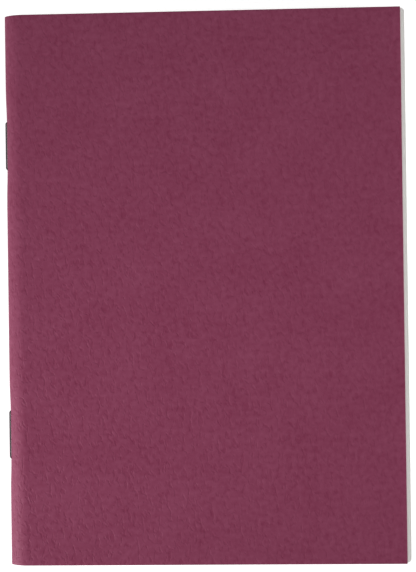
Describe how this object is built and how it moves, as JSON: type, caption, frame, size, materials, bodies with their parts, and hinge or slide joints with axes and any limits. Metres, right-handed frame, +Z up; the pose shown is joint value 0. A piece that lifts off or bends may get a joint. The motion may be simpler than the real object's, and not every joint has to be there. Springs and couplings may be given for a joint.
{
  "type": "notebook insert",
  "caption": "Slim pocket notebook insert: folded card cover around nested paper sheets, held by wire staples through the fold; it opens flat at its centre spread.",
  "frame": {"origin": "middle of the overall box in plan, on the plane of the back cover's outer face, on which the closed notebook lies", "axes": "+X from the spine to the fore-edge, +Y from tail to head, +Z up from the back cover to the front cover"},
  "size_m": [0.1072, 0.147, 0.0072],
  "materials": {
    "cover_card": "matte, felt-marked card",
    "page_paper": "matte, uncoated",
    "staple_wire": "satin"
  },
  "bodies": {
    "back_cover": {"cover_back": "cover_card", "cover_spine": "cover_card"},
    "front_cover": {"cover_front": "cover_card"},
    "staples": {"staple_head": "staple_wire", "staple_tail": "staple_wire"},
    "sheet_01_back": {"leaf_back_01": "page_paper", "fold_01": "page_paper"},
    "sheet_01_front": {"leaf_front_01": "page_paper"},
    "sheet_02_back": {"leaf_back_02": "page_paper", "fold_02": "page_paper"},
    "sheet_02_front": {"leaf_front_02": "page_paper"},
    "sheet_03_back": {"leaf_back_03": "page_paper", "fold_03": "page_paper"},
    "sheet_03_front": {"leaf_front_03": "page_paper"},
    "sheet_04_back": {"leaf_back_04": "page_paper", "fold_04": "page_paper"},
    "sheet_04_front": {"leaf_front_04": "page_paper"},
    "sheet_05_back": {"leaf_back_05": "page_paper", "fold_05": "page_paper"},
    "sheet_05_front": {"leaf_front_05": "page_paper"},
    "sheet_06_back": {"leaf_back_06": "page_paper", "fold_06": "page_paper"},
    "sheet_06_front": {"leaf_front_06": "page_paper"},
    "sheet_07_back": {"leaf_back_07": "page_paper", "fold_07": "page_paper"},
    "sheet_07_front": {"leaf_front_07": "page_paper"},
    "sheet_08_back": {"leaf_back_08": "page_paper", "fold_08": "page_paper"},
    "sheet_08_front": {"leaf_front_08": "page_paper"},
    "sheet_09_back": {"leaf_back_09": "page_paper", "fold_09": "page_paper"},
    "sheet_09_front": {"leaf_front_09": "page_paper"},
    "sheet_10_back": {"leaf_back_10": "page_paper", "fold_10": "page_paper"},
    "sheet_10_front": {"leaf_front_10": "page_paper"},
    "sheet_11_back": {"leaf_back_11": "page_paper", "fold_11": "page_paper"},
    "sheet_11_front": {"leaf_front_11": "page_paper"},
    "sheet_12_back": {"leaf_back_12": "page_paper", "fold_12": "page_paper"},
    "sheet_12_front": {"leaf_front_12": "page_paper"}
  },
  "joints": [
    {"name": "front_cover_open", "type": "hinge", "parent": "back_cover", "child": "front_cover", "pos_m": [-0.05089, 0, 0.00248], "axis": [0, -1, 0], "range_deg": [0, 178.75], "deforming": ["cover_spine"]},
    {"name": "staples_turn", "type": "hinge", "parent": "back_cover", "child": "staples", "pos_m": [-0.05089, 0, 0.00248], "axis": [0, -1, 0], "range_deg": [0, 89.38]},
    {"name": "sheet_01_lift", "type": "hinge", "parent": "back_cover", "child": "sheet_01_back", "pos_m": [-0.05089, 0, 0.00248], "axis": [0, -1, 0], "range_deg": [0, 1.2]},
    {"name": "sheet_01_open", "type": "hinge", "parent": "sheet_01_back", "child": "sheet_01_front", "pos_m": [-0.05089, 0, 0.00248], "axis": [0, -1, 0], "range_deg": [0, 176.35], "deforming": ["fold_01"]},
    {"name": "sheet_02_lift", "type": "hinge", "parent": "back_cover", "child": "sheet_02_back", "pos_m": [-0.05089, 0, 0.00248], "axis": [0, -1, 0], "range_deg": [0, 2.34]},
    {"name": "sheet_02_open", "type": "hinge", "parent": "sheet_02_back", "child": "sheet_02_front", "pos_m": [-0.05089, 0, 0.00248], "axis": [0, -1, 0], "range_deg": [0, 174.06], "deforming": ["fold_02"]},
    {"name": "sheet_03_lift", "type": "hinge", "parent": "back_cover", "child": "sheet_03_back", "pos_m": [-0.05089, 0, 0.00248], "axis": [0, -1, 0], "range_deg": [0, 3.49]},
    {"name": "sheet_03_open", "type": "hinge", "parent": "sheet_03_back", "child": "sheet_03_front", "pos_m": [-0.05089, 0, 0.00248], "axis": [0, -1, 0], "range_deg": [0, 171.78], "deforming": ["fold_03"]},
    {"name": "sheet_04_lift", "type": "hinge", "parent": "back_cover", "child": "sheet_04_back", "pos_m": [-0.05089, 0, 0.00248], "axis": [0, -1, 0], "range_deg": [0, 4.63]},
    {"name": "sheet_04_open", "type": "hinge", "parent": "sheet_04_back", "child": "sheet_04_front", "pos_m": [-0.05089, 0, 0.00248], "axis": [0, -1, 0], "range_deg": [0, 169.49], "deforming": ["fold_04"]},
    {"name": "sheet_05_lift", "type": "hinge", "parent": "back_cover", "child": "sheet_05_back", "pos_m": [-0.05089, 0, 0.00248], "axis": [0, -1, 0], "range_deg": [0, 5.77]},
    {"name": "sheet_05_open", "type": "hinge", "parent": "sheet_05_back", "child": "sheet_05_front", "pos_m": [-0.05089, 0, 0.00248], "axis": [0, -1, 0], "range_deg": [0, 167.2], "deforming": ["fold_05"]},
    {"name": "sheet_06_lift", "type": "hinge", "parent": "back_cover", "child": "sheet_06_back", "pos_m": [-0.05089, 0, 0.00248], "axis": [0, -1, 0], "range_deg": [0, 6.92]},
    {"name": "sheet_06_open", "type": "hinge", "parent": "sheet_06_back", "child": "sheet_06_front", "pos_m": [-0.05089, 0, 0.00248], "axis": [0, -1, 0], "range_deg": [0, 164.92], "deforming": ["fold_06"]},
    {"name": "sheet_07_lift", "type": "hinge", "parent": "back_cover", "child": "sheet_07_back", "pos_m": [-0.05089, 0, 0.00248], "axis": [0, -1, 0], "range_deg": [0, 8.06]},
    {"name": "sheet_07_open", "type": "hinge", "parent": "sheet_07_back", "child": "sheet_07_front", "pos_m": [-0.05089, 0, 0.00248], "axis": [0, -1, 0], "range_deg": [0, 162.63], "deforming": ["fold_07"]},
    {"name": "sheet_08_lift", "type": "hinge", "parent": "back_cover", "child": "sheet_08_back", "pos_m": [-0.05089, 0, 0.00248], "axis": [0, -1, 0], "range_deg": [0, 9.2]},
    {"name": "sheet_08_open", "type": "hinge", "parent": "sheet_08_back", "child": "sheet_08_front", "pos_m": [-0.05089, 0, 0.00248], "axis": [0, -1, 0], "range_deg": [0, 160.35], "deforming": ["fold_08"]},
    {"name": "sheet_09_lift", "type": "hinge", "parent": "back_cover", "child": "sheet_09_back", "pos_m": [-0.05089, 0, 0.00248], "axis": [0, -1, 0], "range_deg": [0, 10.35]},
    {"name": "sheet_09_open", "type": "hinge", "parent": "sheet_09_back", "child": "sheet_09_front", "pos_m": [-0.05089, 0, 0.00248], "axis": [0, -1, 0], "range_deg": [0, 158.06], "deforming": ["fold_09"]},
    {"name": "sheet_10_lift", "type": "hinge", "parent": "back_cover", "child": "sheet_10_back", "pos_m": [-0.05089, 0, 0.00248], "axis": [0, -1, 0], "range_deg": [0, 11.49]},
    {"name": "sheet_10_open", "type": "hinge", "parent": "sheet_10_back", "child": "sheet_10_front", "pos_m": [-0.05089, 0, 0.00248], "axis": [0, -1, 0], "range_deg": [0, 155.77], "deforming": ["fold_10"]},
    {"name": "sheet_11_lift", "type": "hinge", "parent": "back_cover", "child": "sheet_11_back", "pos_m": [-0.05089, 0, 0.00248], "axis": [0, -1, 0], "range_deg": [0, 12.63]},
    {"name": "sheet_11_open", "type": "hinge", "parent": "sheet_11_back", "child": "sheet_11_front", "pos_m": [-0.05089, 0, 0.00248], "axis": [0, -1, 0], "range_deg": [0, 153.49], "deforming": ["fold_11"]},
    {"name": "sheet_12_lift", "type": "hinge", "parent": "back_cover", "child": "sheet_12_back", "pos_m": [-0.05089, 0, 0.00248], "axis": [0, -1, 0], "range_deg": [0, 13.78]},
    {"name": "sheet_12_open", "type": "hinge", "parent": "sheet_12_back", "child": "sheet_12_front", "pos_m": [-0.05089, 0, 0.00248], "axis": [0, -1, 0], "range_deg": [0, 151.2], "deforming": ["fold_12"]}
  ],
  "couplings": [
    {"joint": "staples_turn", "follows": "front_cover_open", "ratio": 0.5},
    {"joint": "sheet_01_lift", "follows": "front_cover_open", "ratio": 0.006713},
    {"joint": "sheet_01_open", "follows": "front_cover_open", "ratio": 0.98657},
    {"joint": "sheet_02_lift", "follows": "front_cover_open", "ratio": 0.013108},
    {"joint": "sheet_02_open", "follows": "front_cover_open", "ratio": 0.97379},
    {"joint": "sheet_03_lift", "follows": "front_cover_open", "ratio": 0.019502},
    {"joint": "sheet_03_open", "follows": "front_cover_open", "ratio": 0.961},
    {"joint": "sheet_04_lift", "follows": "front_cover_open", "ratio": 0.025902},
    {"joint": "sheet_04_open", "follows": "front_cover_open", "ratio": 0.9482},
    {"joint": "sheet_05_lift", "follows": "front_cover_open", "ratio": 0.032297},
    {"joint": "sheet_05_open", "follows": "front_cover_open", "ratio": 0.93541},
    {"joint": "sheet_06_lift", "follows": "front_cover_open", "ratio": 0.038691},
    {"joint": "sheet_06_open", "follows": "front_cover_open", "ratio": 0.92262},
    {"joint": "sheet_07_lift", "follows": "front_cover_open", "ratio": 0.045085},
    {"joint": "sheet_07_open", "follows": "front_cover_open", "ratio": 0.90983},
    {"joint": "sheet_08_lift", "follows": "front_cover_open", "ratio": 0.05148},
    {"joint": "sheet_08_open", "follows": "front_cover_open", "ratio": 0.89704},
    {"joint": "sheet_09_lift", "follows": "front_cover_open", "ratio": 0.057874},
    {"joint": "sheet_09_open", "follows": "front_cover_open", "ratio": 0.88425},
    {"joint": "sheet_10_lift", "follows": "front_cover_open", "ratio": 0.064274},
    {"joint": "sheet_10_open", "follows": "front_cover_open", "ratio": 0.87145},
    {"joint": "sheet_11_lift", "follows": "front_cover_open", "ratio": 0.070669},
    {"joint": "sheet_11_open", "follows": "front_cover_open", "ratio": 0.85866},
    {"joint": "sheet_12_lift", "follows": "front_cover_open", "ratio": 0.077063},
    {"joint": "sheet_12_open", "follows": "front_cover_open", "ratio": 0.84587}
  ]
}
